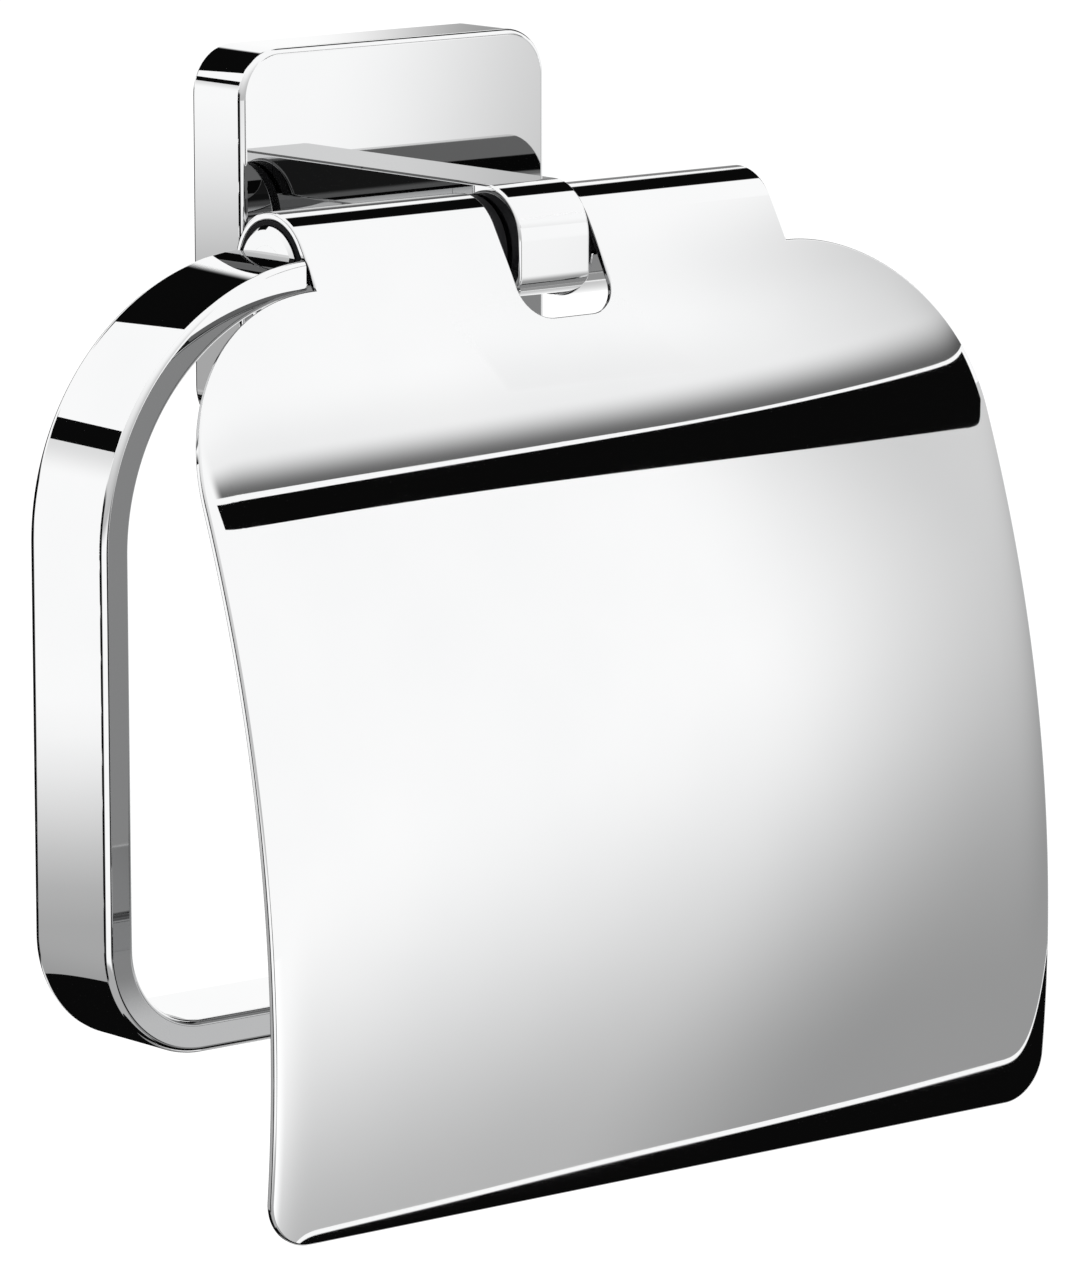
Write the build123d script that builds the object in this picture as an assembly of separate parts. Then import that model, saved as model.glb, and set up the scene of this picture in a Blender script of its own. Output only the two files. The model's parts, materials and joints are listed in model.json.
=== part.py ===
"""Wall-mounted toilet paper holder with a hinged lid, in millimetres.

The origin is the centre of the rosette's back face, on the wall. +Z is up, the wall lies at Y = 0
and the holder stands out of it towards -Y. X = 0 is the middle of the rosette, the arm and the lid.
"""
from build123d import *
from math import acos, asin, atan2, cos, degrees, hypot, radians, sin, sqrt
import os

# Wall rosette: a hollow square cover
rosette_side = 48.0
rosette_depth = 10.0
rosette_corner = 6.0
rosette_edge = 0.8
rosette_back_edge = 0.5
rosette_wall = 2.5
rosette_face = 3.0

# Wall bracket inside the rosette
bracket_width = 35.0
bracket_height = 31.0
bracket_thick = 5.0
bracket_bevel = 2.0
bracket_window_margin = 1.0
bracket_play = 0.15
bracket_lip_setback = 0.5
wall_screw_spacing = 25.0
wall_screw_hole_r = 2.3
wall_screw_sink_r = 4.3

# Set screw under the rosette
set_screw_r = 2.0
set_screw_boss = 5.0
set_screw_boss_width = 10.0
set_screw_recess = 0.6

# Hinge axis, parallel to X
hinge_reach = 32.2
hinge_rise = 0.6

# Hinge core and sleeves
core_r = 5.25
core_stand = 0.6
core_chamfer = 0.4
sleeve_play = 0.05
sleeve_wall = 0.6
flange_rise = 0.7
flange_gap = 0.35

# Support arm and its hook
arm_width = 11.0
arm_thick = 5.0
arm_pocket = 1.0
hook_cover = 2.7
hook_lip = 3.25
hook_bend = 4.5
hook_drop = 5.5
hook_corner = 2.0

# Lid sheet
lid_width = 123.0
lid_drop = 110.4
lid_sheet = 1.0
lid_crown = 174.0
lid_lean = 31.5
lid_corner = 6.0
lid_rail_gap = 0.3
knuckle_span = 74.0
knuckle_gap = 0.8
slot_gap = 1.75
slot_swing = 3.5
slot_corner = 4.5

# Paper rail, a flat bar
rail_depth = 15.4
rail_thick = 4.0
rail_reach = 67.9
rail_drop = 91.4
rail_upper_bend = 32.7
rail_lower_bend = 13.9
rail_free_end = 52.0
rail_edge = 0.8
rail_end_corner = 4.0
spigot_r = 3.0
spigot_length = 14.0

# Small screws
screw_r = 1.5
screw_head_r = 2.75
screw_head_rise = 1.8
screw_spread = 0.5
screw_bite = 2.2
arm_screw_bite = 8.0
socket_across = 2.0
socket_depth = 1.0
head_play = 0.1

# Places that follow from the sizes above
half_side = rosette_side / 2
cavity_half = half_side - rosette_wall
cavity_depth = rosette_depth - rosette_face
axis_y = -hinge_reach
axis_z = hinge_rise
arm_top = axis_z + core_r + hook_cover
arm_mid = arm_top - arm_thick / 2
arm_end_y = -rosette_depth + arm_pocket
bracket_window = screw_head_r + bracket_window_margin
bore_r = core_r + sleeve_play
sleeve_r = bore_r + sleeve_wall
knuckle_r = sleeve_r + lid_sheet
knuckle_half = knuckle_span / 2
core_half = knuckle_half + core_stand
lid_half = lid_width / 2
slot_half = arm_width / 2 + slot_gap
shoulder_r = lid_half - knuckle_half
crown_to_axis = lid_crown - knuckle_r
lean = radians(lid_lean)
crown_y = crown_to_axis * cos(lean)
crown_z = -crown_to_axis * sin(lean)
grub_x = -(core_half - spigot_length / 2)
rail_mid = rail_thick / 2
screw_pitch = 2 * screw_head_r + screw_spread


def at_hinge(shape):
    """Move a shape drawn about the hinge axis to its place."""
    return Pos(0, axis_y, axis_z) * shape


def along_x(face, start, end):
    """Extrude a face drawn in (Y, Z) from one X to another."""
    return Pos(start, 0, 0) * extrude(Plane.YZ * face, end - start)


def socket_cut(across, depth):
    """Hexagon socket, opening at Z = 0 and going down."""
    return extrude(RegularPolygon(across / 2, 6, major_radius=False), -depth)


def grub_screw(radius, length):
    """Grub screw standing on Z = 0, with its socket on top and a chamfered point."""
    body = Cylinder(radius, length, align=(Align.CENTER, Align.CENTER, Align.MIN))
    body = chamfer(body.edges().group_by(Axis.Z)[0], radius / 4)
    return body - Pos(0, 0, length) * socket_cut(radius, length / 3)


def cap_screw(grip, bite):
    """Screw with its head's seat at Z = 0, the head above and the shank below."""
    head = Cylinder(screw_head_r, screw_head_rise, align=(Align.CENTER, Align.CENTER, Align.MIN))
    shank = Cylinder(screw_r, grip + bite, align=(Align.CENTER, Align.CENTER, Align.MAX))
    return head + shank - Pos(0, 0, screw_head_rise) * socket_cut(socket_across, socket_depth)


def screw_places():
    """X of the two screws of a pair."""
    return (-screw_pitch / 2, screw_pitch / 2)


def make_wall_bracket():
    """Plate on the wall, wider at its front, with a window over the arm screws' heads."""
    rise = bracket_height / 2
    front = rise + bracket_bevel
    side = Polyline((0, -rise), (0, rise), (-bracket_thick, front), (-bracket_thick, -front), close=True)
    plate = along_x(make_face(side), -bracket_width / 2, bracket_width / 2)
    window_width = screw_pitch + 2 * bracket_window
    plate -= Pos(0, -bracket_thick / 2, arm_mid) * Box(window_width, bracket_thick, 2 * bracket_window)
    sink_depth = wall_screw_sink_r - wall_screw_hole_r
    for x in (-wall_screw_spacing / 2, wall_screw_spacing / 2):
        hole = Cylinder(wall_screw_hole_r, bracket_thick, align=(Align.CENTER, Align.CENTER, Align.MIN))
        sink = Cone(
            wall_screw_hole_r, wall_screw_sink_r, sink_depth, align=(Align.CENTER, Align.CENTER, Align.MIN)
        )
        cut = hole + Pos(0, 0, bracket_thick - sink_depth) * sink
        plate -= Pos(x, 0, 0) * Rot(90, 0, 0) * cut
    return plate


def bracket_edge(y):
    """Height of the bracket's bevelled edge at a depth from the wall."""
    return bracket_height / 2 + bracket_bevel * -y / bracket_thick


def make_wall_rosette():
    """Hollow cover with a lip that hooks over the bracket and a boss for the set screw."""
    block = extrude(Plane.XZ * RectangleRounded(rosette_side, rosette_side, rosette_corner), rosette_depth)
    block = fillet(block.faces().sort_by(Axis.Y)[0].edges(), rosette_edge)
    block = fillet(block.faces().sort_by(Axis.Y)[-1].edges(), rosette_back_edge)
    inner_corner = rosette_corner - rosette_wall
    shell = block - extrude(
        Plane.XZ * RectangleRounded(2 * cavity_half, 2 * cavity_half, inner_corner), cavity_depth
    )
    near, far = -bracket_lip_setback, -bracket_thick
    lip_side = Polyline(
        (near, cavity_half), (near, bracket_edge(near) + bracket_play),
        (far, bracket_edge(far) + bracket_play), (far, cavity_half), close=True,
    )
    shell += along_x(make_face(lip_side), -bracket_width / 2, bracket_width / 2)
    boss_top = -half_side + set_screw_boss
    shell += Pos(0, -cavity_depth, -half_side + rosette_wall) * Box(
        set_screw_boss_width, cavity_depth - bracket_lip_setback, set_screw_boss - rosette_wall,
        align=(Align.CENTER, Align.MIN, Align.MIN),
    )
    shell -= Pos(0, -bracket_thick / 2, boss_top) * Cylinder(
        set_screw_r, set_screw_boss, align=(Align.CENTER, Align.CENTER, Align.MAX)
    )
    shell -= Pos(0, -rosette_depth, arm_mid) * Box(
        arm_width, arm_pocket, arm_thick, align=(Align.CENTER, Align.MIN, Align.CENTER)
    )
    for x in screw_places():
        shell -= Pos(x, -cavity_depth, arm_mid) * Rot(90, 0, 0) * Cylinder(
            screw_r, rosette_face, align=(Align.CENTER, Align.CENTER, Align.MIN)
        )
    return shell


def make_rosette_set_screw():
    """Grub screw from below, its point on the bracket's lower bevel."""
    tip = -bracket_edge(-bracket_thick / 2 - set_screw_r) - bracket_play
    length = tip + half_side - set_screw_recess
    return Pos(0, -bracket_thick / 2, tip) * Rot(180, 0, 0) * grub_screw(set_screw_r, length)


def make_support_arm():
    """Flat bar with a saddle over the core and a lip in front of it."""
    top = core_r + hook_cover
    under = top - arm_thick
    front = -(core_r + hook_lip)
    seat = sqrt(core_r**2 - under**2)
    back = arm_end_y - axis_y
    bend_y = front + hook_bend
    bend_z = top - hook_bend
    lip_round = hook_lip / 3
    side = [
        Line((back, top), (bend_y, top)),
        RadiusArc((bend_y, top), (front, bend_z), -hook_bend),
        Line((front, bend_z), (front, -hook_drop + lip_round)),
        RadiusArc((front, -hook_drop + lip_round), (front + lip_round, -hook_drop), -lip_round),
        Line((front + lip_round, -hook_drop), (-core_r, -hook_drop)),
        Line((-core_r, -hook_drop), (-core_r, 0)),
        ThreePointArc((-core_r, 0), (0, core_r), (seat, under)),
        Line((seat, under), (back, under)),
        Line((back, under), (back, top)),
    ]
    bar = along_x(make_face(side), -arm_width / 2, arm_width / 2)
    tip_edges = bar.edges().filter_by(Axis.Y).group_by(Axis.Z)[0]
    bar = fillet(tip_edges, hook_corner)
    for x in screw_places():
        bar -= Pos(x, back, top - arm_thick / 2) * Rot(90, 0, 0) * Cylinder(
            screw_r, arm_screw_bite, align=(Align.CENTER, Align.CENTER, Align.MIN)
        )
        bar -= Pos(x, 0, 0) * Cylinder(
            screw_r, core_r + screw_bite, align=(Align.CENTER, Align.CENTER, Align.MIN)
        )
    return at_hinge(bar)


def make_arm_screws():
    """Pair of screws from inside the rosette into the arm's end."""
    grip = rosette_face - arm_pocket
    seat = Pos(0, -cavity_depth, arm_mid) * Rot(-90, 0, 0)
    return [Pos(x, 0, 0) * seat * cap_screw(grip, arm_screw_bite) for x in screw_places()]


def make_hinge_core():
    """Round bar with a bore for the rail's spigot and holes for its screws."""
    bar = along_x(Circle(core_r), -core_half, core_half)
    bar = chamfer(bar.edges().filter_by(GeomType.CIRCLE), core_chamfer)
    bar -= along_x(Circle(spigot_r), -core_half, -core_half + spigot_length)
    bar -= Pos(grub_x, 0, 0) * Cylinder(screw_r, core_r, align=(Align.CENTER, Align.CENTER, Align.MAX))
    for x in screw_places():
        bar -= Pos(x, 0, 0) * Cylinder(screw_r, 2 * core_r)
        bar -= Pos(x, 0, core_screw_seat()) * Cylinder(
            screw_head_r + head_play, core_r, align=(Align.CENTER, Align.CENTER, Align.MAX)
        )
    return at_hinge(bar)


def core_screw_seat():
    """Height of the core screws' head seat, from the hinge axis: the heads lie inside the core."""
    rim = sqrt(core_r**2 - screw_head_r**2)
    return -rim + screw_head_rise


def make_core_screws():
    """Pair of screws from below, through the core into the hook's saddle."""
    grip = core_r - core_screw_seat()
    seat = Pos(0, 0, core_screw_seat()) * Rot(180, 0, 0)
    return [at_hinge(Pos(x, 0, 0) * seat * cap_screw(grip, screw_bite)) for x in screw_places()]


def make_hinge_sleeve(side):
    """Bush in one knuckle, with a flange beside the hook; side is -1 on the left and 1 on the right."""
    flange_end = arm_width / 2 + flange_gap
    ring = Circle(sleeve_r) - Circle(bore_r)
    collar = Circle(sleeve_r + flange_rise) - Circle(bore_r)
    tube = along_x(ring, slot_half, knuckle_half)
    flange = along_x(collar, flange_end, slot_half)
    bush = tube + flange
    if side < 0:
        bush = mirror(bush, Plane.YZ)
    return at_hinge(bush)


def crown_point(radius, arc):
    """Point (Y, Z) about the hinge axis, a length of arc below the knuckle, at a radius of the crown."""
    turn = lean - arc / lid_crown
    return (crown_y - radius * cos(turn), crown_z + radius * sin(turn))


def arc_at(radius):
    """Arc below the knuckle where the lid's inner face is a given radius from the hinge axis."""
    inner = lid_crown - lid_sheet
    turn = acos((crown_to_axis**2 + inner**2 - radius**2) / (2 * crown_to_axis * inner))
    return lid_crown * turn


def lid_length():
    """Length of the panel along its outer face, from the knuckle to the lower edge."""
    lowest = asin((-lid_drop - crown_z) / lid_crown)
    return lid_crown * (lean - lowest)


def shoulder_arc():
    """Arc where the shoulders start: the sheet has come clear of the rail's front corner."""
    return arc_at(hypot(rail_depth / 2, rail_mid) + lid_rail_gap)


def slot_arc():
    """Arc where the slot ends: the sheet swings clear of the hook's lip."""
    return arc_at(hypot(core_r + hook_lip, hook_drop) + slot_swing)


def knuckle_opening():
    """Angle between the end of the roll and the sheet's tangent point, in degrees."""
    y, z = crown_point(lid_crown - lid_sheet, arc_at(knuckle_r + knuckle_gap))
    return lid_lean - degrees(atan2(z, -y))


def sheet_plane(arc):
    """Plane in the lid's outer face: X across, Y up the sheet and Z out of it."""
    turn = lean - arc / lid_crown
    y, z = crown_point(lid_crown, arc)
    return Plane(origin=(0, y, z), x_dir=(1, 0, 0), z_dir=(0, -cos(turn), sin(turn)))


def make_lid_panel():
    """Curved panel below the knuckles, cut to its outline."""
    inner = lid_crown - lid_sheet
    length = lid_length()
    outside = [crown_point(lid_crown, arc) for arc in (0, length / 2, length)]
    inside = [crown_point(inner, arc) for arc in (length, length / 2, 0)]
    side = [
        ThreePointArc(*outside),
        Line(outside[-1], inside[0]),
        ThreePointArc(*inside),
        Line(inside[-1], outside[0]),
    ]
    panel = along_x(make_face(side), -lid_half, lid_half)
    corners = [edge for edge in panel.edges().filter_by(Axis.X, reverse=True) if edge.length < 2 * lid_sheet]
    panel = fillet(ShapeList(corners).group_by(Axis.Z)[0], lid_corner)
    return panel - shoulder_cuts() - slot_cut()


def shoulder_cuts():
    """Corner pieces above the lid's two shoulders, quarter circles from the knuckle to the side."""
    middle = shoulder_arc() + shoulder_r / 2
    over = 2 * shoulder_r
    low, high = -shoulder_r / 2, middle + over
    outline = [
        Line((knuckle_half, high), (knuckle_half, shoulder_r / 2)),
        RadiusArc((knuckle_half, shoulder_r / 2), (lid_half, low), shoulder_r),
        Line((lid_half, low), (lid_half + over, low)),
        Line((lid_half + over, low), (lid_half + over, high)),
        Line((lid_half + over, high), (knuckle_half, high)),
    ]
    right = extrude(sheet_plane(middle) * make_face(outline), shoulder_r / 2, both=True)
    return [right, mirror(right, Plane.YZ)]


def slot_cut():
    """Slot between the knuckles, with a rounded lower end."""
    depth = slot_arc()
    slot = Rectangle(2 * slot_half, 2 * depth, align=(Align.CENTER, Align.MIN))
    slot = fillet(slot.vertices().group_by(Axis.Y)[0], slot_corner)
    return extrude(sheet_plane(depth / 2) * Pos(0, -depth / 2) * slot, depth, both=True)


def make_lid_cover():
    """The whole lid: panel and two rolled knuckles in one sheet."""
    start = 180 - lid_lean
    end = start + knuckle_opening()
    reach = 2 * knuckle_r
    first = (reach * cos(radians(start)), reach * sin(radians(start)))
    last = (reach * cos(radians(end)), reach * sin(radians(end)))
    rim = CenterArc((0, 0), reach, start, end - start)
    opening = make_face([Line((0, 0), first), rim, Line(last, (0, 0))])
    roll = Circle(knuckle_r) - Circle(sleeve_r) - opening
    right = along_x(roll, slot_half, knuckle_half)
    return at_hinge(make_lid_panel() + right + mirror(right, Plane.YZ))


def make_paper_rail():
    """Flat bar from the core's left end, round to the left and back under the lid, with its spigot."""
    left = -rail_reach
    top, bottom = rail_mid, -rail_drop
    upper_x, upper_z = left + rail_upper_bend, top - rail_upper_bend
    lower_x, lower_z = left + rail_lower_bend, bottom + rail_lower_bend
    outer = [
        Line((upper_x, top), (-core_half + rail_upper_bend, top)),
        CenterArc((upper_x, upper_z), rail_upper_bend, 90, 90),
        Line((left, upper_z), (left, lower_z)),
        CenterArc((lower_x, lower_z), rail_lower_bend, 180, 90),
        Line((lower_x, bottom), (rail_free_end, bottom)),
    ]
    inner_upper, inner_lower = rail_upper_bend - rail_thick, rail_lower_bend - rail_thick
    inner = [
        Line((rail_free_end, bottom + rail_thick), (lower_x, bottom + rail_thick)),
        CenterArc((lower_x, lower_z), inner_lower, 270, -90),
        Line((left + rail_thick, lower_z), (left + rail_thick, upper_z)),
        CenterArc((upper_x, upper_z), inner_upper, 180, -90),
        Line((upper_x, top - rail_thick), (-core_half + rail_upper_bend, top - rail_thick)),
    ]
    ends = [
        Line((rail_free_end, bottom), (rail_free_end, bottom + rail_thick)),
        Line((-core_half + rail_upper_bend, top - rail_thick), (-core_half + rail_upper_bend, top)),
    ]
    bar = extrude(Plane.XZ * make_face(outer + inner + ends), rail_depth / 2, both=True)
    bar -= Pos(-core_half, 0, 0) * Box(
        3 * rail_upper_bend, 2 * rail_depth, 2 * rail_thick, align=(Align.MIN, Align.CENTER, Align.CENTER)
    )
    tip_edges = bar.edges().filter_by(Axis.Z).group_by(Axis.X)[-1]
    bar = fillet(tip_edges, rail_end_corner)
    near_side, far_side = bar.faces().filter_by(Axis.Y).sort_by(Axis.Y)
    bar = fillet(near_side.edges() + far_side.edges(), rail_edge)
    bar += along_x(Circle(spigot_r), -core_half, -core_half + spigot_length)
    return at_hinge(bar)


def make_rail_grub_screw():
    """Grub screw in the core's underside, its point on the rail's spigot."""
    length = sqrt(core_r**2 - screw_r**2) - spigot_r
    return at_hinge(Pos(grub_x, 0, -spigot_r) * Rot(180, 0, 0) * grub_screw(screw_r, length))


def save(name, shape):
    """Write one piece, or a group of loose solids, as a named file."""
    if isinstance(shape, list):
        shape = Compound(children=shape)
    export_step(shape, f"parts/{name}.step")


def main():
    """Build every piece and write it."""
    os.makedirs("parts", exist_ok=True)
    save("wall_bracket", make_wall_bracket())
    save("wall_rosette", make_wall_rosette())
    save("rosette_set_screw", make_rosette_set_screw())
    save("support_arm", make_support_arm())
    save("arm_screws", make_arm_screws())
    save("hinge_core", make_hinge_core())
    save("core_screws", make_core_screws())
    save("left_hinge_sleeve", make_hinge_sleeve(-1))
    save("right_hinge_sleeve", make_hinge_sleeve(1))
    save("lid_cover", make_lid_cover())
    save("paper_rail", make_paper_rail())
    save("rail_grub_screw", make_rail_grub_screw())


main()
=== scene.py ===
"""Looks of a wall-mounted toilet paper holder with a hinged lid.

Sizes are in millimetres, in the part's own frame: the wall lies at Y = 0, the holder stands out
towards -Y, +Z is up and X = 0 is the middle of the arm. They become metres when a mesh is made.
Only the finishes are in metres, as a shader measures them.
"""
import json
import logging
from dataclasses import dataclass
from enum import Enum

import bpy
import numpy as np
from mathutils import Matrix, Vector

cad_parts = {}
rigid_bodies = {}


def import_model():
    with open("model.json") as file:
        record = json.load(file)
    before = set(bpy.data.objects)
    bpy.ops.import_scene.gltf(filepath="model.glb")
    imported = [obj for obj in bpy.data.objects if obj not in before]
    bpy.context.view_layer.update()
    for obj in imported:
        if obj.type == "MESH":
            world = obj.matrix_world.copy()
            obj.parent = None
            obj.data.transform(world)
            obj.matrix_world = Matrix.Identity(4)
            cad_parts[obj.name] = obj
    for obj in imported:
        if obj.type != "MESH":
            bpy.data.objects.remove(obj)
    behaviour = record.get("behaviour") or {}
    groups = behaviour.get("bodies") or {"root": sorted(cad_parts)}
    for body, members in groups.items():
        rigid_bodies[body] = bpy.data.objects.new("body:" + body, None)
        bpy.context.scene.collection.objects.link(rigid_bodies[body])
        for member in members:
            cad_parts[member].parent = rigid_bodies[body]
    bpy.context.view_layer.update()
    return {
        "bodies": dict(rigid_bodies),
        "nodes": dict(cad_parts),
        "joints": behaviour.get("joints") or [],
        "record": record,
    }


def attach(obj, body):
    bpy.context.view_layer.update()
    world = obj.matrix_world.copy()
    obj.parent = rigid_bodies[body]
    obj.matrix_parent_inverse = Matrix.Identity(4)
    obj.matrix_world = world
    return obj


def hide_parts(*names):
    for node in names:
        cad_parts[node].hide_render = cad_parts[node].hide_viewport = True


Array = np.ndarray
Material = bpy.types.Material
Node = bpy.types.Node
Object = bpy.types.Object
Socket = bpy.types.NodeSocket
Pair = tuple[float, float]
Triple = tuple[float, float, float]
MM = 0.001
TINY = 1e-9
QUARTER = np.pi / 2
WELD = 1e-4
WELD_SHIFT = 0.37
NOISE_LOW, NOISE_HIGH = 0.3, 0.7
PAST_FIRST_MIRROR = 1.5
HINGE_Y, HINGE_Z = -32.2, 0.6
log = logging.getLogger("paper_holder")


class Body(Enum):
    """Bodies of the part, by the names in its record."""

    HOLDER = "holder"
    LID = "lid"


class Slot(Enum):
    """Material slots of the part's record."""

    CHROME = "polished_chrome"
    PLASTIC = "dark_plastic"
    PLATED = "plated_steel"
    SCREW = "screw_steel"


class Side(Enum):
    """Side of the arm, as the sign of X."""

    LEFT = -1
    RIGHT = 1


def unit(ways: Array) -> Array:
    """Scale every vector of an array to length one."""
    return ways / np.linalg.norm(ways, axis=-1, keepdims=True)


def vectors(x: Array | float, y: Array | float, z: Array | float) -> Array:
    """Stack three broadcast components as the last axis."""
    return np.stack(np.broadcast_arrays(x, y, z), axis=-1).astype(float)


def at_hinge(x: Array | float, y: Array | float, z: Array | float) -> Array:
    """Points from places across the part and places about the hinge axis."""
    return vectors(x, HINGE_Y + y, HINGE_Z + z)


def smooth_step(share: Array) -> Array:
    """Ease from 0 to 1: 3 t^2 - 2 t^3, held outside that range."""
    held = np.clip(share, 0.0, 1.0)
    return held * held * (3.0 - 2.0 * held)


def rim_profile(edge: float, thickness: float, steps: int = 7) -> tuple[Array, Array, Array]:
    """Profile of a plate's rounded rim, from its outer face round to its inner one.

    Two quarter circles with a straight between them. At the angle a the first quarter stands out
    by edge * sin(a) at the depth edge * (1 - cos(a)), and the second one mirrors it.

    Args:
        edge: radius of the rounded edges.
        thickness: thickness of the plate.
        steps: points on each quarter.

    Returns:
        How far each point stands out, its depth below the outer face and its angle.
    """
    quarter = np.linspace(0.0, QUARTER, steps)
    angle = np.concatenate((quarter, quarter + QUARTER))
    depth = np.concatenate((edge * (1 - np.cos(quarter)), thickness - edge * (1 - np.sin(quarter))))
    return edge * np.sin(angle), depth, angle


def link_object(name: str, data: bpy.types.ID) -> Object:
    """Make an object of a mesh, lamp or camera and put it into the scene.

    Args:
        name: name of the object.
        data: what it shows.

    Returns:
        The object, at the origin.
    """
    made = bpy.data.objects.new(name, data)
    bpy.context.scene.collection.objects.link(made)
    return made


def stage_sheet(name: str, points: Array, material: Material) -> Object:
    """Make a sheet of the studio, whose every grid cell is a four-sided face.

    Args:
        name: name of the sheet.
        points: rows by columns by 3, in millimetres.
        material: its material.

    Returns:
        The sheet, marked as part of the stage.
    """
    index = np.arange(points[..., 0].size).reshape(points.shape[:2])
    faces = np.stack((index[:-1, :-1], index[1:, :-1], index[1:, 1:], index[:-1, 1:]), axis=-1)
    mesh = bpy.data.meshes.new(name)
    mesh.from_pydata((points.reshape(-1, 3) * MM).tolist(), [], faces.reshape(-1, 4).tolist())
    mesh.materials.append(material)
    made = link_object(name, mesh)
    return made


class Shell:
    """Patches of one piece, welded into a closed mesh that keeps their exact normals."""

    def __init__(self) -> None:
        """Start with no patches."""
        self.corners: list[Array] = []
        self.normals: list[Array] = []

    def add(self, points: Array, normals: Array, both_sides: bool = False) -> None:
        """Take a patch, whose every grid cell becomes a four-sided face.

        Args:
            points: rows by columns by 3, in millimetres.
            normals: outward normals on the same grid.
            both_sides: add the patch's mirror image in X = 0 too.
        """
        for grid, store in ((points, self.corners), (unit(normals), self.normals)):
            cells = np.stack((grid[:-1, :-1], grid[1:, :-1], grid[1:, 1:], grid[:-1, 1:]), axis=2)
            store.append(cells.reshape(-1, 4, 3))
        if both_sides:
            flip = np.array((-1.0, 1.0, 1.0))
            self.add(points * flip, normals * flip)

    def make(self, name: str) -> Object:
        """Weld the patches, turn every face outwards and make the object.

        Args:
            name: name of the piece.

        Returns:
            The new object, at the origin, in metres.
        """
        corners = np.concatenate(self.corners)
        normals = np.concatenate(self.normals)
        across = np.cross(corners[:, 2] - corners[:, 0], corners[:, 3] - corners[:, 1])
        inward = np.einsum("ij,ikj->i", across, normals) < 0
        corners[inward] = corners[inward][:, ::-1]
        normals[inward] = normals[inward][:, ::-1]
        flat = corners.reshape(-1, 3)
        keys = np.round(flat / WELD + WELD_SHIFT)
        _, first, index = np.unique(keys, axis=0, return_index=True, return_inverse=True)
        index = index.reshape(-1, 4)
        kept = index != np.roll(index, -1, axis=1)
        sides = kept.sum(axis=1)
        quads, thirds = sides == 4, sides == 3
        triangles = index[thirds][kept[thirds]].reshape(-1, 3)
        mesh = bpy.data.meshes.new(name)
        mesh.from_pydata((flat[first] * MM).tolist(), [], index[quads].tolist() + triangles.tolist())
        mesh.polygons.foreach_set("use_smooth", np.ones(len(mesh.polygons), dtype=bool))
        turned = np.concatenate((normals[quads].reshape(-1, 3), normals[thirds][kept[thirds]]))
        mesh.normals_split_custom_set(turned.tolist())
        mesh.update()
        return link_object(name, mesh)


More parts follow.
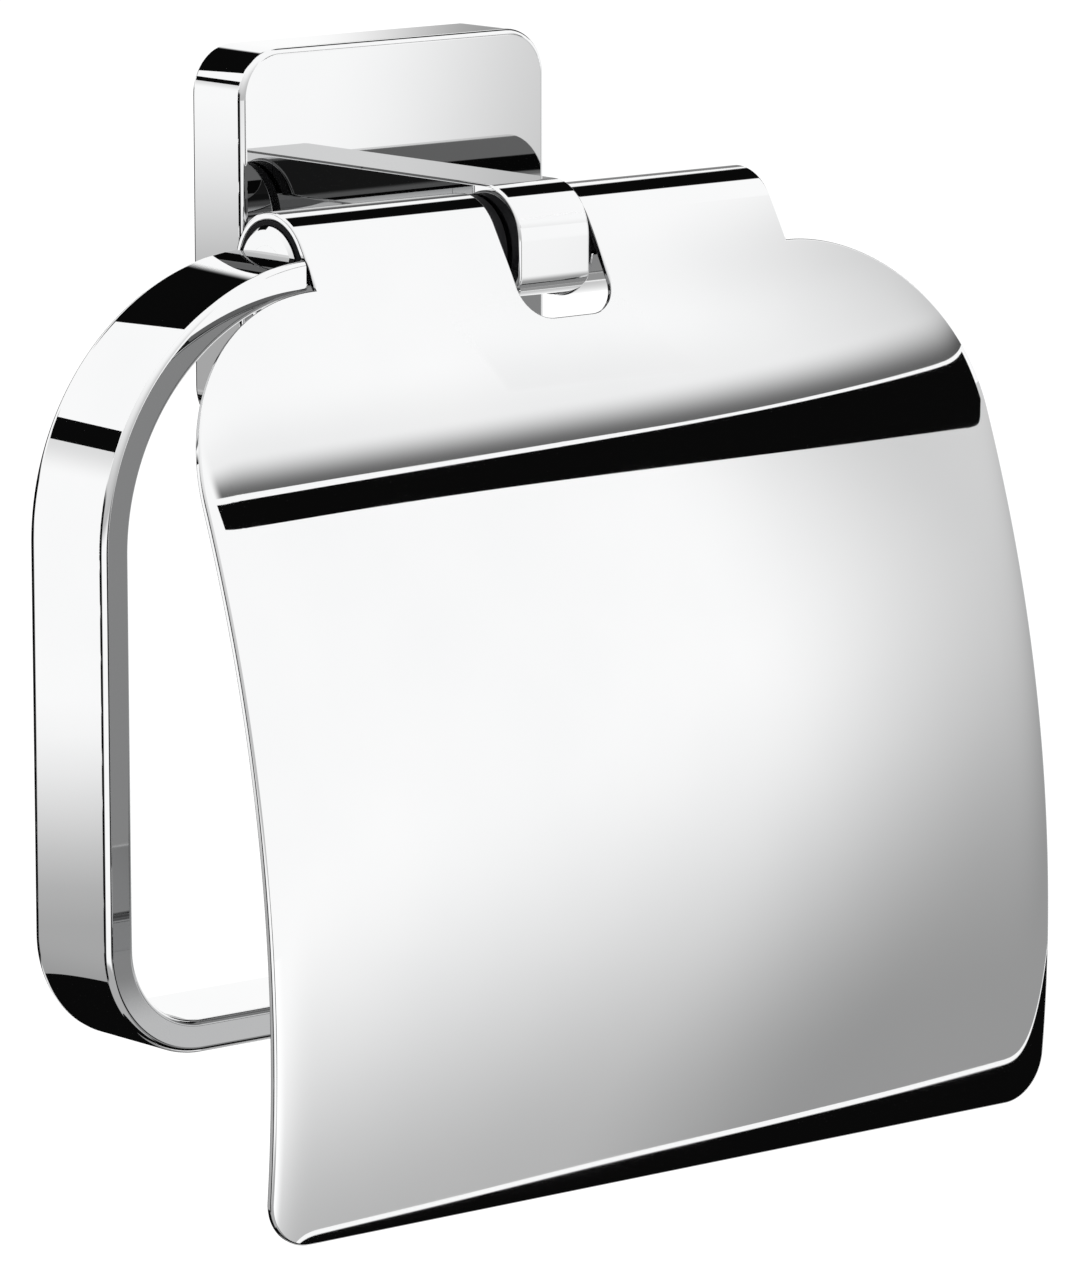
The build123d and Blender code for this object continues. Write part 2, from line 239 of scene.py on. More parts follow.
class Shader:
    """Node tree of one material, or of the world, built node by node."""

    def __init__(self, name: str, world: bpy.types.World | None = None) -> None:
        """Empty the tree of a new material, or of the world, and give it an output."""
        self.material = bpy.data.materials.new(name) if world is None else world
        self.material.use_nodes = True
        self.tree = self.material.node_tree
        self.tree.nodes.clear()
        kind = "ShaderNodeOutputMaterial" if world is None else "ShaderNodeOutputWorld"
        self.output = self.node(kind)

    def feed(self, inlet: Socket, value: object) -> None:
        """Link a socket to an inlet, or set the inlet to a value.

        Args:
            inlet: input of a node.
            value: another node's output, or a constant.
        """
        if isinstance(value, Socket):
            self.tree.links.new(value, inlet)
        else:
            inlet.default_value = value

    def node(self, kind: str, settings: dict[str, object] | None = None, **inputs: object) -> Node:
        """Add a node.

        Args:
            kind: Blender's type name of the node.
            settings: properties of the node.
            inputs: values or sockets for its inputs, with _ for a space in the input's name.

        Returns:
            The new node.
        """
        made = self.tree.nodes.new(kind)
        for key, value in (settings or {}).items():
            setattr(made, key, value)
        for key, value in inputs.items():
            self.feed(made.inputs[key.replace("_", " ")], value)
        return made

    def math(self, operation: str, *values: Socket | float) -> Socket:
        """Do a sum.

        Args:
            operation: Blender's name of the sum.
            values: sockets or numbers.

        Returns:
            Its result.
        """
        made = self.node("ShaderNodeMath", {"operation": operation})
        for inlet, value in zip(made.inputs, values):
            self.feed(inlet, value)
        return made.outputs[0]

    def place(self, stretch: Triple = (1.0, 1.0, 1.0)) -> Socket:
        """Object coordinates, stretched."""
        source = self.node("ShaderNodeTexCoord").outputs["Object"]
        return self.node("ShaderNodeMapping", Vector=source, Scale=stretch).outputs["Vector"]

    def noise(self, scale: float, detail: float, stretch: Triple = (1.0, 1.0, 1.0)) -> Socket:
        """Soft noise with so many features to the metre."""
        place = self.place(stretch)
        return self.node("ShaderNodeTexNoise", Vector=place, Scale=scale, Detail=detail).outputs[0]

    def span(self, value: Socket, low: float, high: float) -> Socket:
        """Spread the middle of a noise over a range of values."""
        ends = {"From_Min": NOISE_LOW, "From_Max": NOISE_HIGH, "To_Min": low, "To_Max": high}
        return self.node("ShaderNodeMapRange", Value=value, **ends).outputs["Result"]

    def blend(self, value: Socket, low: Triple, high: Triple) -> Socket:
        """Colour between two colours, by a noise.

        Args:
            value: the noise.
            low: colour at its lowest.
            high: colour at its highest.

        Returns:
            The colour.
        """
        made = self.node("ShaderNodeValToRGB", Fac=value)
        first, last = made.color_ramp.elements
        first.position, first.color = NOISE_LOW, (*low, 1.0)
        last.position, last.color = NOISE_HIGH, (*high, 1.0)
        return made.outputs["Color"]

    def bump(self, height: Socket, distance: float) -> Socket:
        """Normal that follows a height of so many metres."""
        return self.node("ShaderNodeBump", Height=height, Strength=1.0, Distance=distance).outputs["Normal"]

    def join(self, kind: str, first: Node, second: Node, **inputs: object) -> Node:
        """Add or mix two shaders.

        Args:
            kind: Blender's type name of the node that does it.
            first: the first shader.
            second: the second shader.
            inputs: other inputs of the node.

        Returns:
            The node.
        """
        made = self.node(kind, **inputs)
        for inlet, part in zip(list(made.inputs)[-2:], (first, second)):
            self.feed(inlet, part.outputs[0])
        return made

    def show(self, node: Node) -> None:
        """Put a shader out as the surface."""
        self.feed(self.output.inputs["Surface"], node.outputs[0])

    def surface(self, **inputs: object) -> Material:
        """Finish with a principled surface and give the material."""
        self.show(self.node("ShaderNodeBsdfPrincipled", **inputs))
        return self.material


@dataclass(frozen=True)
class ChromeFinish:
    """Polished chrome plate: a mirror with faint wiping marks and a trace of waviness."""

    name: str = "polished_chrome"
    slot: Slot = Slot.CHROME
    dull: Triple = (0.925, 0.93, 0.935)
    bright: Triple = (0.955, 0.957, 0.96)
    sheer: float = 0.008
    wiped: float = 0.022
    smears: float = 34.0
    wiping: Triple = (140.0, 900.0, 260.0)
    wiping_share: float = 0.45
    waves: float = 22.0
    wave_height: float = 1.2e-6

    def material(self) -> Material:
        """Wide smears vary the tone and gloss, fine wiping marks the gloss, and long waves the normal.

        Returns:
            The material.
        """
        shader = Shader(self.name)
        smear = shader.noise(self.smears, detail=4.0)
        rest = shader.span(smear, 0.0, 1.0 - self.wiping_share)
        wiping = shader.noise(1.0, detail=5.0, stretch=self.wiping)
        marks = shader.math("MULTIPLY_ADD", wiping, self.wiping_share, rest)
        return shader.surface(
            Base_Color=shader.blend(smear, self.dull, self.bright),
            Metallic=1.0,
            Roughness=shader.span(marks, self.sheer, self.wiped),
            Normal=shader.bump(shader.noise(self.waves, detail=1.0), self.wave_height),
        )


@dataclass(frozen=True)
class PlasticFinish:
    """Dark moulded plastic of the bushes: satin, finely grained and a little uneven in tone."""

    name: str = "dark_plastic"
    slot: Slot = Slot.PLASTIC
    dark: Triple = (0.006, 0.006, 0.007)
    light: Triple = (0.015, 0.015, 0.016)
    gloss: Pair = (0.3, 0.46)
    shine: float = 0.12
    clouds: float = 160.0
    grains: float = 2600.0
    grain_height: float = 6e-6

    def material(self) -> Material:
        """Cloudy tone, gloss that varies with it and a fine moulded grain.

        Returns:
            The material.
        """
        shader = Shader(self.name)
        cloud = shader.noise(self.clouds, detail=4.0)
        return shader.surface(
            Base_Color=shader.blend(cloud, self.dark, self.light),
            Roughness=shader.span(cloud, *self.gloss),
            Specular_IOR_Level=self.shine,
            Normal=shader.bump(shader.noise(self.grains, detail=2.0), self.grain_height),
        )


@dataclass(frozen=True)
class SteelFinish:
    """Steel with an uneven tone, and with fine marks that run one way."""

    name: str
    slot: Slot
    dark: Triple
    light: Triple
    gloss: Pair
    marks: Triple
    mark_detail: float
    mark_height: float
    tints: float

    def tint(self, shader: Shader) -> Socket:
        """Oily patches."""
        return shader.noise(self.tints, detail=4.0)

    def material(self) -> Material:
        """The tint varies the tone, and the marks vary the gloss and the height.

        Returns:
            The material.
        """
        shader = Shader(self.name)
        marks = shader.noise(1.0, self.mark_detail, self.marks)
        return shader.surface(
            Base_Color=shader.blend(self.tint(shader), self.dark, self.light),
            Metallic=1.0,
            Roughness=shader.span(marks, *self.gloss),
            Normal=shader.bump(marks, self.mark_height),
        )


@dataclass(frozen=True)
class PlatedFinish(SteelFinish):
    """Zinc-plated steel of the hidden bracket: cool grey, crystalline, with long rolling marks."""

    name: str = "plated_steel"
    slot: Slot = Slot.PLATED
    dark: Triple = (0.45, 0.46, 0.48)
    light: Triple = (0.68, 0.69, 0.7)
    gloss: Pair = (0.28, 0.48)
    marks: Triple = (60.0, 1400.0, 1400.0)
    mark_detail: float = 4.0
    mark_height: float = 8e-6
    tints: float = 420.0

    def tint(self, shader: Shader) -> Socket:
        """Crystal cells."""
        cells = shader.node("ShaderNodeTexVoronoi", Vector=shader.place(), Scale=self.tints)
        return shader.node("ShaderNodeRGBToBW", Color=cells.outputs["Color"]).outputs[0]


@dataclass(frozen=True)
class ScrewFinish(SteelFinish):
    """Turned steel of the screws: grey and a little oily, with fine tool marks round the shank."""

    name: str = "screw_steel"
    slot: Slot = Slot.SCREW
    dark: Triple = (0.3, 0.3, 0.31)
    light: Triple = (0.52, 0.52, 0.53)
    gloss: Pair = (0.24, 0.42)
    marks: Triple = (400.0, 400.0, 6000.0)
    mark_detail: float = 3.0
    mark_height: float = 6e-6
    tints: float = 900.0


Finish = ChromeFinish | PlasticFinish | SteelFinish


class Workshop:
    """Hands out one material for each finish and fits finished pieces to the frame."""

    def __init__(self, frame: dict[str, dict]) -> None:
        """Keep the loaded frame and start with no materials."""
        self.nodes = frame["nodes"]
        self.made: dict[str, Material] = {}

    def material(self, finish: Finish) -> Material:
        """Give the finish's material, made on its first use.

        Args:
            finish: the finish.

        Returns:
            The material.
        """
        if finish.name not in self.made:
            self.made[finish.name] = finish.material()
        return self.made[finish.name]

    def fit(self, piece: Object, finish: Finish, body: Body, node: str) -> None:
        """Dress a new piece and put it in the place of a CAD node.

        Args:
            piece: the new object.
            finish: its finish.
            body: the body that it rides on.
            node: the node that it stands for.
        """
        piece.data.materials.append(self.material(finish))
        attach(piece, body.value)
        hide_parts(node)
        log.info("%s: %d faces, for %s", piece.name, len(piece.data.polygons), node)

    def dress(self, finish: Finish, *nodes: str) -> None:
        """Give CAD nodes that stay their finish.

        Args:
            finish: the finish.
            nodes: names of the nodes.
        """
        for node in nodes:
            for slot in self.nodes[node].material_slots:
                slot.material = self.material(finish)
            log.info("%s: dressed in %s", node, finish.name)


@dataclass
class Strip:
    """Columns of the lid's face: places across, the top of each, and the level that the top stands for."""

    x: Array
    top: Array
    start: float


@dataclass
class LidCover:
    """The bent lid sheet: two rolled knuckles, a slot round the hook and a slightly crowned panel.

    The sheet is laid out flat in (x, s). s runs down the outer face from the line where the roll
    meets the panel: below 0 it goes back round the knuckle, above 0 down the panel. Cells are the
    steps of the grid: across the slot's flat end, its corner, the knuckle and the shoulder, and down
    the roll, to the shoulder, to the slot's corner, to the join, to the lower corner and round it.
    """

    half_width: float = 61.5
    drop: float = 110.4
    sheet: float = 1.0
    crown: float = 174.0
    lean: float = np.radians(31.5)
    corner: float = 6.0
    knuckle: float = 6.9
    knuckle_half: float = 37.0
    roll_gap: float = 0.8
    shoulder_reach: float = 8.255
    slot_reach: float = 13.68
    slot_half: float = 7.25
    slot_corner: float = 4.3
    edge: float = 0.3
    fall: float = 0.26
    fall_width: float = 7.5
    fall_reach: float = 38.0
    fall_ease: float = 12.0
    join: float = 34.0
    across_cells: tuple[int, int, int, int] = (5, 16, 25, 56)
    down_cells: tuple[int, int, int, int, int] = (99, 8, 3, 27, 63)
    corner_cells: int = 10
    finish: Finish = ChromeFinish()

    def __post_init__(self) -> None:
        """Work out the places that follow from the sizes."""
        self.middle = self.crown - self.knuckle
        self.crown_y = self.middle * np.cos(self.lean)
        self.crown_z = -self.middle * np.sin(self.lean)
        self.length = self.crown * (self.lean - np.arcsin((-self.drop - self.crown_z) / self.crown))
        self.shoulder_start = self.arc_at(self.shoulder_reach)
        self.shoulder = self.half_width - self.knuckle_half
        self.shoulder_mid = self.shoulder_start + self.shoulder
        self.slot_top = self.arc_at(self.slot_reach) - self.slot_corner
        self.slot_flat = self.slot_half - self.slot_corner
        self.slot_round = self.slot_corner + self.edge
        self.shoulder_round = self.shoulder - self.edge
        self.corner_round = self.corner - self.edge
        self.foot = self.length - self.corner
        inner = self.crown - self.sheet
        turn = self.lean - self.arc_at(self.knuckle + self.roll_gap) / self.crown
        height = self.crown_z + inner * np.sin(turn)
        opening = self.lean - np.arctan2(height, inner * np.cos(turn) - self.crown_y)
        self.roll_end = -self.knuckle * (2 * np.pi - opening)
        self.lay_out()

    def arc_at(self, reach: float) -> float:
        """Length down the panel where its inner face is so far from the hinge axis."""
        inner = self.crown - self.sheet
        return self.crown * np.arccos((self.middle**2 + inner**2 - reach**2) / (2 * self.middle * inner))

    def lay_out(self) -> None:
        """Divide the right half of the face into strips of columns, with common levels down the sheet.

        The tops follow the slot's rounded end, the end of the roll and the shoulder, all drawn back
        by the rim's edge.
        """
        edge, slot_round, shoulder = self.edge, self.slot_round, self.shoulder_round
        flat_cells, slot_cells, ear_cells, shoulder_cells = self.across_cells
        flat = np.linspace(0.0, self.slot_flat, flat_cells + 1)[:-1]
        turn = np.linspace(0.0, QUARTER, slot_cells + 1)
        self.centre = Strip(
            np.concatenate((flat, self.slot_flat + slot_round * np.sin(turn))),
            np.concatenate((np.full(flat_cells, slot_round), slot_round * np.cos(turn))) + self.slot_top,
            self.slot_top,
        )
        ear = np.linspace(self.slot_half + edge, self.knuckle_half - edge, ear_cells + 1)
        self.ear = Strip(ear, np.full(ear.shape, self.roll_end + edge), self.roll_end + edge)
        start, bend = self.shoulder_start + edge, np.linspace(0.0, QUARTER, shoulder_cells + 1)
        self.wing = Strip(
            self.knuckle_half + np.concatenate(([-edge], shoulder * np.sin(bend))),
            np.concatenate(([start], self.shoulder_mid - shoulder * np.cos(bend))),
            start,
        )
        stops = (self.ear.start, 0.0, start, self.slot_top, self.join, self.foot)
        runs = [np.linspace(*ends, cells + 1)[:-1] for *ends, cells in zip(stops, stops[1:], self.down_cells)]
        self.levels = np.concatenate((*runs, [self.foot]))

    def edge_fall(self, x: Array, s: Array) -> tuple[Array, Array, Array]:
        """How far the polished face falls away beside its sides and shoulders.

        With the distance d to the edge, the face sinks by fall * (1 - d / width)^4 within the
        width, and leans outwards by that curve's slope. The fall grows from nothing at the
        knuckles to its whole size a little below the shoulders.

        Args:
            x: places across the sheet.
            s: places down the sheet.

        Returns:
            The depth, and the lean towards X and towards s.
        """
        across = np.maximum(np.abs(x) - self.knuckle_half, 0.0)
        rise = np.minimum(s - self.shoulder_mid, 0.0)
        far = np.hypot(across, rise)
        below = smooth_step((s - self.shoulder_start) / self.fall_reach)
        weight = smooth_step(across / self.fall_ease) * below
        share = np.clip(1.0 - (self.shoulder - far) / self.fall_width, 0.0, 1.0)
        lean = weight * 4.0 * self.fall / self.fall_width * share**3 / np.maximum(far, TINY)
        return weight * self.fall * share**4, lean * across * np.sign(x), lean * rise

    def place(self, x: Array, s: Array, depth: Array | float) -> tuple[Array, Array, Array]:
        """Roll the flat layout up: arcs about the hinge for the knuckle and about the crown's centre below.

        Args:
            x: places across the sheet.
            s: places down the sheet.
            depth: depth below the outer face.

        Returns:
            Points, normals of the outer face and directions down the sheet.
        """
        panel = s >= 0
        radius = np.where(panel, self.crown, self.knuckle)
        turn = self.lean - s / radius
        sine, cosine = np.sin(turn), np.cos(turn)
        fall, lean_x, lean_s = self.edge_fall(x, s)
        reach = radius - depth - fall
        y = np.where(panel, self.crown_y, 0.0) - reach * cosine
        z = np.where(panel, self.crown_z, 0.0) + reach * sine
        normal = unit(vectors(lean_x, -cosine - lean_s * sine, sine - lean_s * cosine))
        return at_hinge(x, y, z), normal, vectors(0.0, -sine, -cosine)

    def past_corner(self, x: Array) -> Array:
        """How far columns lie past the start of the lower corner."""
        return np.maximum(x - self.half_width + self.corner, 0.0)

    def bottom(self, x: Array) -> Array:
        """Lower end of the face's columns: a straight, then a quarter circle at the corner."""
        rest = self.corner_round**2 - self.past_corner(x) ** 2
        return self.foot + np.sqrt(np.maximum(rest, 0.0))

    def rows(self, strip: Strip) -> Array:
        """Places down the sheet for a strip of columns.

        Above the joining level the rows are squeezed evenly below each column's own top, so that
        neighbouring strips share their points; the last rows fan out to the lower corner.

        Args:
            strip: the strip.

        Returns:
            Rows by columns.
        """
        used = self.levels[self.levels >= strip.start - TINY][:, None]
        squeezed = self.join - (self.join - used) * (self.join - strip.top) / (self.join - strip.start)
        upper = np.where(used < self.join, squeezed, used)
        share = np.linspace(0.0, 1.0, self.corner_cells + 1)[1:, None]
        return np.concatenate((upper, self.foot + share * (self.bottom(strip.x) - self.foot)))

    def outline(self) -> Array:
        """Edge of the right half of the face, from the middle of the lower edge round to the slot.

        Returns:
            Rows of x, s and the way out of the sheet, longer at the square corners.
        """
        def run(*columns: Array | float) -> Array:
            """Rows of one stretch of the outline: x, s and the way out."""
            return np.stack(np.broadcast_arrays(*columns), axis=-1).astype(float).reshape(-1, 4)

        centre, ear, wing = self.centre, self.ear, self.wing
        radius, shoulder, slot_round = self.corner_round, self.shoulder_round, self.slot_round
        low_x = np.concatenate((centre.x, ear.x[1:], wing.x[1:]))
        low_s = self.bottom(low_x)
        side = self.rows(wing)[:, -1]
        back_x, back_s = wing.x[-2:0:-1], wing.top[-2:0:-1]
        rising = self.levels[self.levels < wing.start - TINY][::-1]
        falling = self.levels[self.levels <= self.slot_top + TINY]
        slot_x, slot_s = centre.x[-2::-1], centre.top[-2::-1]
        return np.concatenate((
            run(low_x, low_s, self.past_corner(low_x) / radius, (low_s - self.foot) / radius),
            run(wing.x[-1], side[side < self.foot - TINY][::-1], 1.0, 0.0),
            run(
                back_x, back_s,
                (back_x - self.knuckle_half) / shoulder, (back_s - self.shoulder_mid) / shoulder,
            ),
            run(wing.x[0], wing.start, 1.0, -1.0),
            run(ear.x[-1], rising[:-1], 1.0, 0.0),
            run(ear.x[-1], rising[-1], 1.0, -1.0),
            run(ear.x[-2:0:-1], rising[-1], 0.0, -1.0),
            run(ear.x[0], rising[-1], -1.0, -1.0),
            run(ear.x[0], falling[1:], -1.0, 0.0),
            run(
                slot_x, slot_s,
                np.minimum(self.slot_flat - slot_x, 0.0) / slot_round,
                (self.slot_top - slot_s) / slot_round,
            ),
        ))

    def build(self) -> Object:
        """Roll up both faces of the three strips on each side and carry the rim round them.

        Returns:
            The lid.
        """
        shell = Shell()
        for strip in (self.centre, self.ear, self.wing):
            s = self.rows(strip)
            for depth, sign in ((0.0, 1.0), (self.sheet, -1.0)):
                points, normals, _ = self.place(strip.x + 0 * s, s, depth)
                shell.add(points, sign * normals, both_sides=True)
        loop = self.outline()
        out, depth, angle = rim_profile(self.edge, self.sheet)
        x = loop[:, :1] + out * loop[:, 2:3]
        s = loop[:, 1:2] + out * loop[:, 3:4]
        points, normals, along = self.place(x, s, depth + 0 * x)
        away = unit(loop[:, 2:])
        outward = away[:, None, :1] * np.array((1.0, 0.0, 0.0)) + away[:, None, 1:] * along
        turn = angle[None, :, None]
        shell.add(points, np.cos(turn) * normals + np.sin(turn) * outward, both_sides=True)
        return shell.make("lid_sheet")


@dataclass
class PaperRail:
    """The flat bar that carries the roll, bent to a C that is open on the right.

    Stations are counted on its upper bend, upright, lower bend, lower straight and free end's corners.
    """

    half_depth: float = 7.7
    half_thick: float = 2.0
    start_x: float = -37.6
    upper_x: float = -35.2
    upper_z: float = -30.7
    upper_bend: float = 30.7
    lower_x: float = -54.0
    lower_z: float = -77.5
    lower_bend: float = 11.9
    free_end: float = 52.0
    end_corner: float = 4.0
    spigot: float = 3.0
    spigot_end: float = -23.6
    edge: float = 0.8
    back_edge: float = 1.8
    edge_ease: float = 36.0
    stations: tuple[int, int, int, int, int] = (64, 28, 44, 59, 12)
    columns: int = 15
    round_cells: int = 64
    finish: Finish = ChromeFinish()

    def run_x(self) -> Array:
        """Stations along the lower straight, closer together round the free end's corners.

        Returns:
            Their places, without the start of the straight.
        """
        straight_count, corner_count = self.stations[3:]
        straight_x = np.linspace(self.lower_x, self.free_end - self.end_corner, straight_count + 1)[1:]
        turn = np.linspace(0.0, QUARTER, corner_count + 1)[1:]
        return np.concatenate((straight_x, straight_x[-1] + (self.end_corner - self.edge) * np.sin(turn)))

    def path(self, height: Array) -> tuple[Array, Array, Array]:
        """The bar's line at distances outwards from its middle: arc, straight, arc, straight.

        On an arc the place is its centre plus (bend + height) times the direction (-sin t, cos t),
        and the upper arc starts where that meets the plane of the hinge's end.

        Args:
            height: distances outwards from the middle, the same at all stations or a row for each.

        Returns:
            x, z and the turn t, stations by heights.
        """
        upper_count, fall_count, lower_count = self.stations[:3]
        run = self.run_x()[:, None]
        fall = np.linspace(self.upper_z, self.lower_z, fall_count + 2)[1:-1, None]
        counts = (*self.stations[:3], run.size)
        levels = np.broadcast_to(height, (sum(counts), np.shape(height)[-1]))
        on_upper, on_fall, on_lower, on_run = np.split(levels, np.cumsum(counts)[:-1])
        reach, foot = self.upper_bend + on_upper, self.lower_bend + on_lower
        first = np.arcsin((self.upper_x - self.start_x) / reach)
        upper = first + np.linspace(0.0, 1.0, upper_count)[:, None] * (QUARTER - first)
        lower = np.linspace(QUARTER, np.pi, lower_count)[:, None]
        x = (
            self.upper_x - reach * np.sin(upper), self.upper_x - self.upper_bend - on_fall,
            self.lower_x - foot * np.sin(lower), run + 0 * on_run,
        )
        z = (
            self.upper_z + reach * np.cos(upper), fall + 0 * on_fall,
            self.lower_z + foot * np.cos(lower), self.lower_z - self.lower_bend - on_run,
        )
        turn = (upper, QUARTER + 0 * on_fall, lower + 0 * on_lower, np.pi + 0 * on_run)
        return np.concatenate(x), np.concatenate(z), np.concatenate(turn)

    def face(self, sign: float) -> tuple[Array, Array, Array]:
        """The bar's line on its outer face, or with the sign -1 on its inner one."""
        return self.path(np.array([sign * self.half_thick]))

    def rim_levels(self, radius: Array | float) -> Array:
        """Distances outwards of the rim's points, from the outer face round to the inner one."""
        depth = rim_profile(1.0, 0.0)[1]
        return np.repeat((self.half_thick, -self.half_thick), depth.size // 2) - radius * depth

    def add_rim(self, shell: Shell, sign: float, radius: Array, half: Array, past: Array) -> Array:
        """Add the rounded rim along one side, and round the free end's corner there.

        Args:
            shell: shell of the bar.
            sign: -1 for the front and 1 for the back.
            radius: radius of the rim at each station.
            half: half depth of the flat face at each station.
            past: how far each station is past the start of the free end's corners.

        Returns:
            The rim's points at the bar's start.
        """
        out, _, angle = rim_profile(1.0, 0.0)
        ahead = past / (self.end_corner - self.edge)
        aside = np.sqrt(np.maximum(1.0 - ahead**2, 0.0))
        x, z, turn = self.path(self.rim_levels(radius))
        end = radius * out * ahead
        y = sign * (half + radius * out * aside)
        points = at_hinge(x - np.cos(turn) * end, y, z - np.sin(turn) * end)
        upward = vectors(-np.sin(turn), 0.0, np.cos(turn))
        away = vectors(-np.cos(turn) * ahead, sign * aside, -np.sin(turn) * ahead)
        shell.add(points, np.cos(angle)[:, None] * upward + np.sin(angle)[:, None] * away)
        return points[0]

    def add_ends(self, shell: Shell, start: Array, tip: Array, rims: list[Array]) -> None:
        """Add the rounded rim across the free end, and the flat end at the hinge between both rims.

        Args:
            shell: shell of the bar.
            start: columns of the faces at the hinge, in depth.
            tip: columns of the faces at the free end, in depth.
            rims: the front and the back rim's points at the hinge.
        """
        out, _, angle = rim_profile(1.0, 0.0)
        x, z, _ = self.path(self.rim_levels(self.edge))
        depth = tip[:, None]
        shell.add(
            at_hinge(x[-1] + self.edge * out, depth, z[-1]), vectors(np.sin(angle), 0 * depth, -np.cos(angle))
        )
        half = angle.size // 2
        outer, inner = (at_hinge(self.start_x, start[1:-1], self.face(sign)[1][0]) for sign in (1.0, -1.0))
        front, back = rims
        rows = np.stack((
            np.concatenate((front[:half][::-1], outer, back[:half])),
            np.concatenate((front[half:], inner, back[half:][::-1])),
        ))
        shell.add(rows, vectors(1.0, 0.0, 0 * rows[..., 0]))

    def add_spigot(self, shell: Shell) -> None:
        """Add the round spigot in the hinge's end: a circle carried along X, and a disc at both ends.

        Args:
            shell: shell of the bar.
        """
        turn = np.linspace(0.0, 2 * np.pi, self.round_cells + 1)
        ends = np.array((self.start_x, self.spigot_end))[:, None]
        spread = np.array((0.0, self.spigot))[:, None]
        way_y, way_z = np.cos(turn), np.sin(turn)
        wall = at_hinge(ends, self.spigot * way_y, self.spigot * way_z)
        shell.add(wall, vectors(0 * ends, way_y, way_z))
        for place, facing in zip(ends[:, 0], (-1.0, 1.0)):
            disc = at_hinge(place, spread * way_y, spread * way_z)
            shell.add(disc, vectors(facing, 0 * disc[..., 0], 0.0))

    def build(self) -> Object:
        """Make both faces as grids of station by depth, then the rims, the ends and the spigot.

        The rim is rounder along the back, and as round as the front from before the free end's corners.

        Returns:
            The rail.
        """
        shell = Shell()
        run = self.run_x()
        bent = np.zeros(sum(self.stations[:3]))
        past = np.concatenate((bent, np.maximum(run - self.free_end + self.end_corner, 0.0)))[:, None]
        eased = np.concatenate((bent, smooth_step(run / self.edge_ease)))[:, None]
        radii = np.full_like(past, self.edge), self.back_edge + (self.edge - self.back_edge) * eased
        inner = self.half_depth - self.end_corner
        halves = [
            inner + np.sqrt(np.maximum((self.end_corner - radius) ** 2 - past**2, 0.0)) for radius in radii
        ]
        share = np.linspace(0.0, 1.0, self.columns)
        across = share * halves[1] - (1.0 - share) * halves[0]
        for sign in (1.0, -1.0):
            x, z, turn = self.face(sign)
            shell.add(at_hinge(x, across, z), sign * vectors(-np.sin(turn), 0 * share, np.cos(turn)))
        rims = [self.add_rim(shell, *side, past) for side in zip((-1.0, 1.0), radii, halves)]
        self.add_ends(shell, across[0], across[-1], rims)
        self.add_spigot(shell)
        return shell.make("paper_rail_bar")


def straight(start: Pair, end: Pair, normal: Pair, steps: int) -> Array:
    """Points and normals along a straight of a side view.

    Args:
        start: y and z of its start.
        end: y and z of its end.
        normal: y and z of its normal.
        steps: number of points.

    Returns:
        Rows of y, z and the normal's y and z.
    """
    share = np.linspace(0.0, 1.0, steps)[:, None]
    points = np.array(start) + share * (np.array(end) - np.array(start))
    return np.hstack((points, np.broadcast_to(np.array(normal, dtype=float), points.shape)))


def bow(middle: Pair, radius: float, first: float, last: float, steps: int, sign: float = 1.0) -> Array:
    """Points and normals along an arc of a side view: middle + radius * (cos t, sin t).

    Args:
        middle: y and z of its centre.
        radius: its radius.
        first: angle of its start in degrees.
        last: angle of its end in degrees.
        steps: number of points.
        sign: 1 for normals outwards, -1 for normals inwards.

    Returns:
        Rows of y, z and the normal's y and z.
    """
    turn = np.radians(np.linspace(first, last, steps))
    around = np.stack((np.cos(turn), np.sin(turn)), axis=-1)
    return np.hstack((np.array(middle) + radius * around, sign * around))


